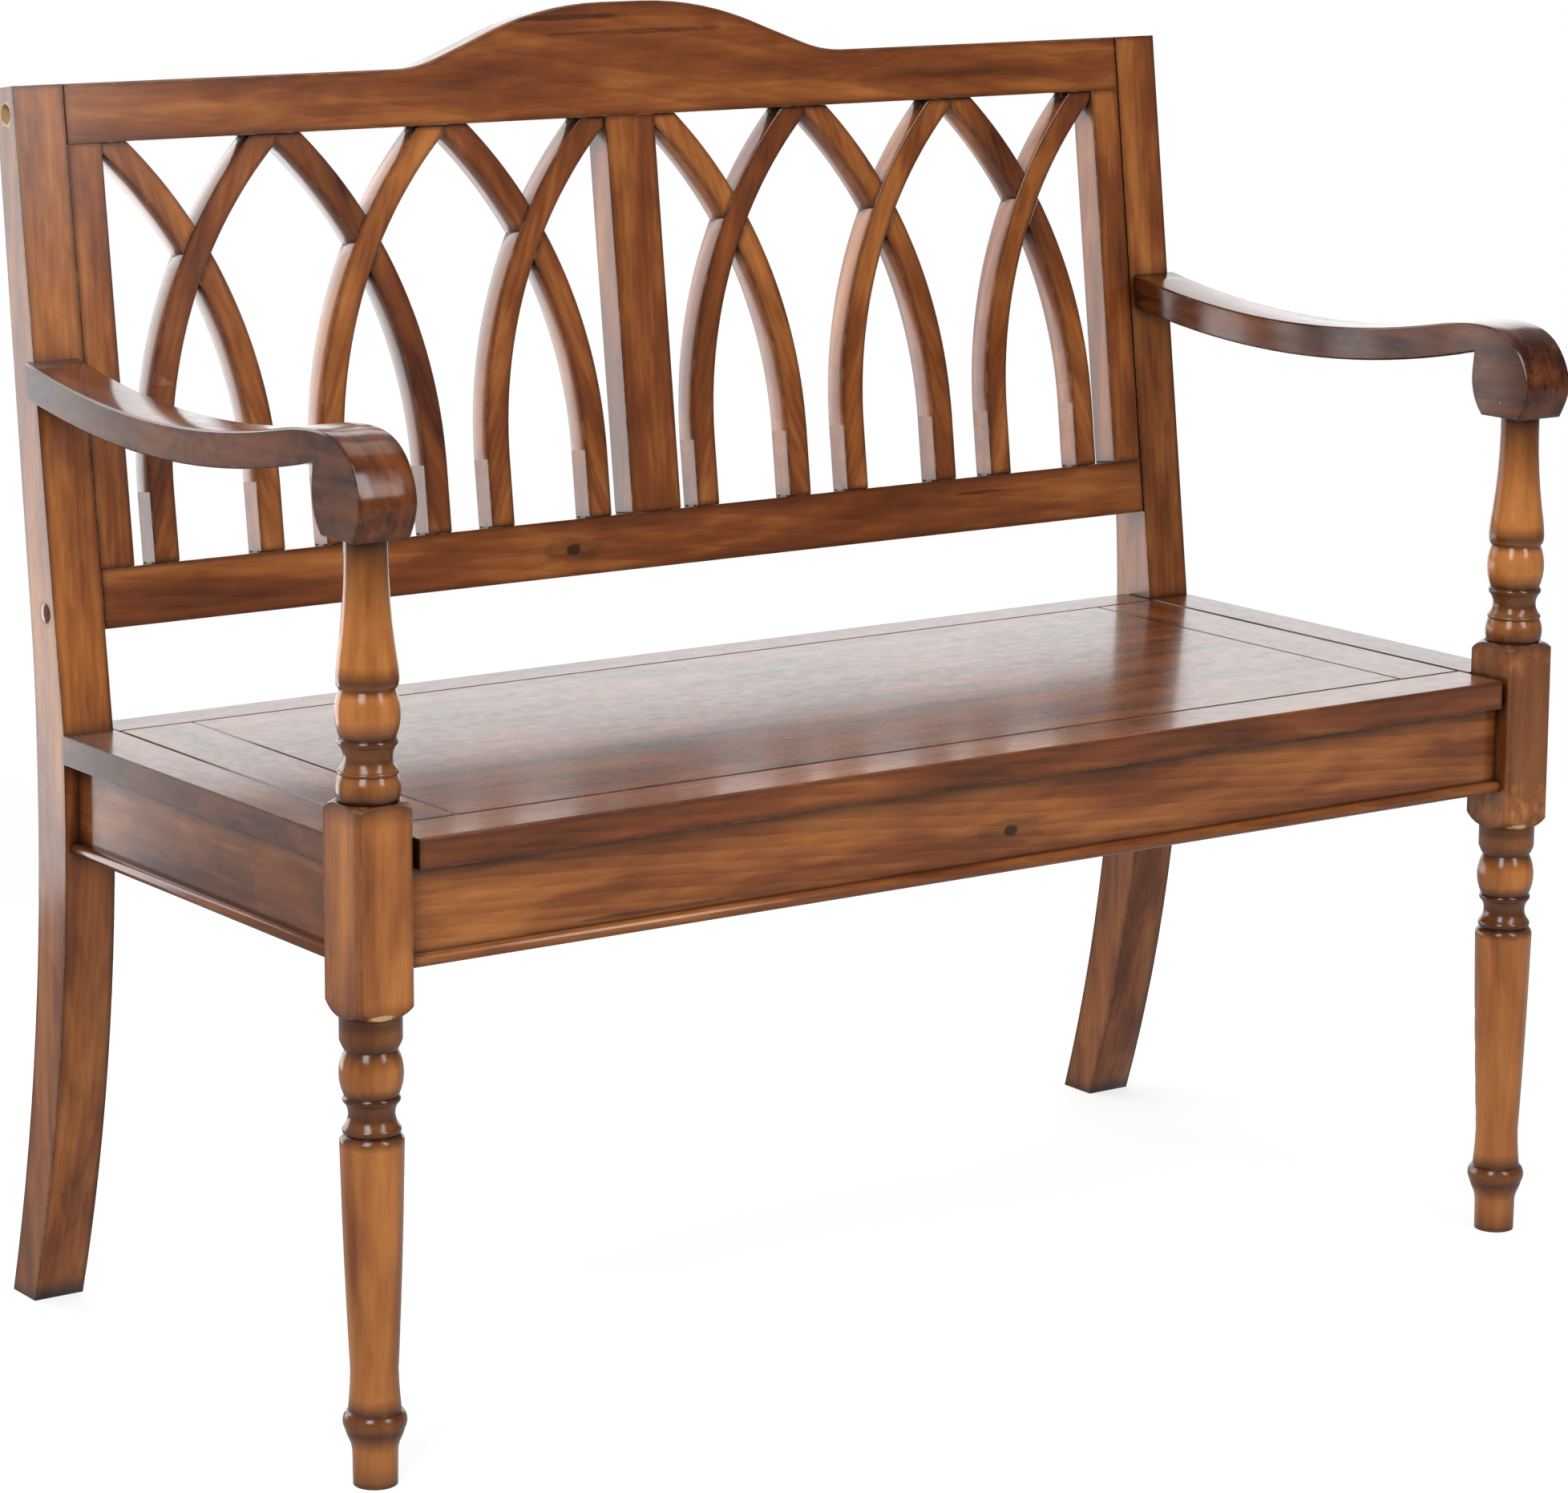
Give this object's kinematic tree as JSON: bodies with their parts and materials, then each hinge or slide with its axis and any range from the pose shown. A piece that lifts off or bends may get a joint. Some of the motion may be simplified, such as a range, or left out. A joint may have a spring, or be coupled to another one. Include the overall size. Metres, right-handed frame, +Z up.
{
  "type": "deacons bench",
  "caption": "Wooden deacons bench with a flat framed seat, turned front posts, scrolled arms and a raked back of curved crossing slats under a humped crest rail.",
  "frame": {"origin": "on the floor, under the middle of the bench's outer box", "axes": "+Z up, +X along the seat towards the right as seen from the front, -Y towards the front, where the sitter faces"},
  "size_m": [1.114, 0.5666, 0.9961],
  "materials": {
    "stained_wood": "gloss red-brown stain",
    "seat_wood": "gloss red-brown stain",
    "plain_wood": "unfinished",
    "steel": "zinc plated"
  },
  "bodies": {
    "root": {"arm_left": "stained_wood", "arm_pins": "steel", "arm_right": "stained_wood", "arm_screws": "steel", "back_bottom_rail": "stained_wood", "back_centre_stile": "stained_wood", "back_stile_left": "stained_wood", "back_stile_right": "stained_wood", "barrel_nuts": "steel", "button_plugs": "stained_wood", "cleat_screws": "steel", "corner_blocks": "plain_wood", "crest_rail": "stained_wood", "frame_bolts": "steel", "front_apron": "stained_wood", "front_bead": "stained_wood", "front_post_left": "stained_wood", "front_post_right": "stained_wood", "hanger_bolts": "steel", "lattice_slat_falling_1": "stained_wood", "lattice_slat_falling_2": "stained_wood", "lattice_slat_falling_3": "stained_wood", "lattice_slat_falling_4": "stained_wood", "lattice_slat_falling_5": "stained_wood", "lattice_slat_falling_6": "stained_wood", "lattice_slat_rising_1": "stained_wood", "lattice_slat_rising_2": "stained_wood", "lattice_slat_rising_3": "stained_wood", "lattice_slat_rising_4": "stained_wood", "lattice_slat_rising_5": "stained_wood", "lattice_slat_rising_6": "stained_wood", "rear_apron": "stained_wood", "rear_post_left": "stained_wood", "rear_post_right": "stained_wood", "seat_cleat_left": "plain_wood", "seat_cleat_right": "plain_wood", "seat_cross_rail": "plain_wood", "seat_end_board_left": "seat_wood", "seat_end_board_right": "seat_wood", "seat_front_rail": "seat_wood", "seat_panel": "seat_wood", "seat_rear_rail": "seat_wood", "seat_screws": "steel", "seat_side_strip_left": "seat_wood", "seat_side_strip_right": "seat_wood", "side_apron_left": "stained_wood", "side_apron_right": "stained_wood", "side_bead_left": "stained_wood", "side_bead_right": "stained_wood"}
  },
  "joints": []
}
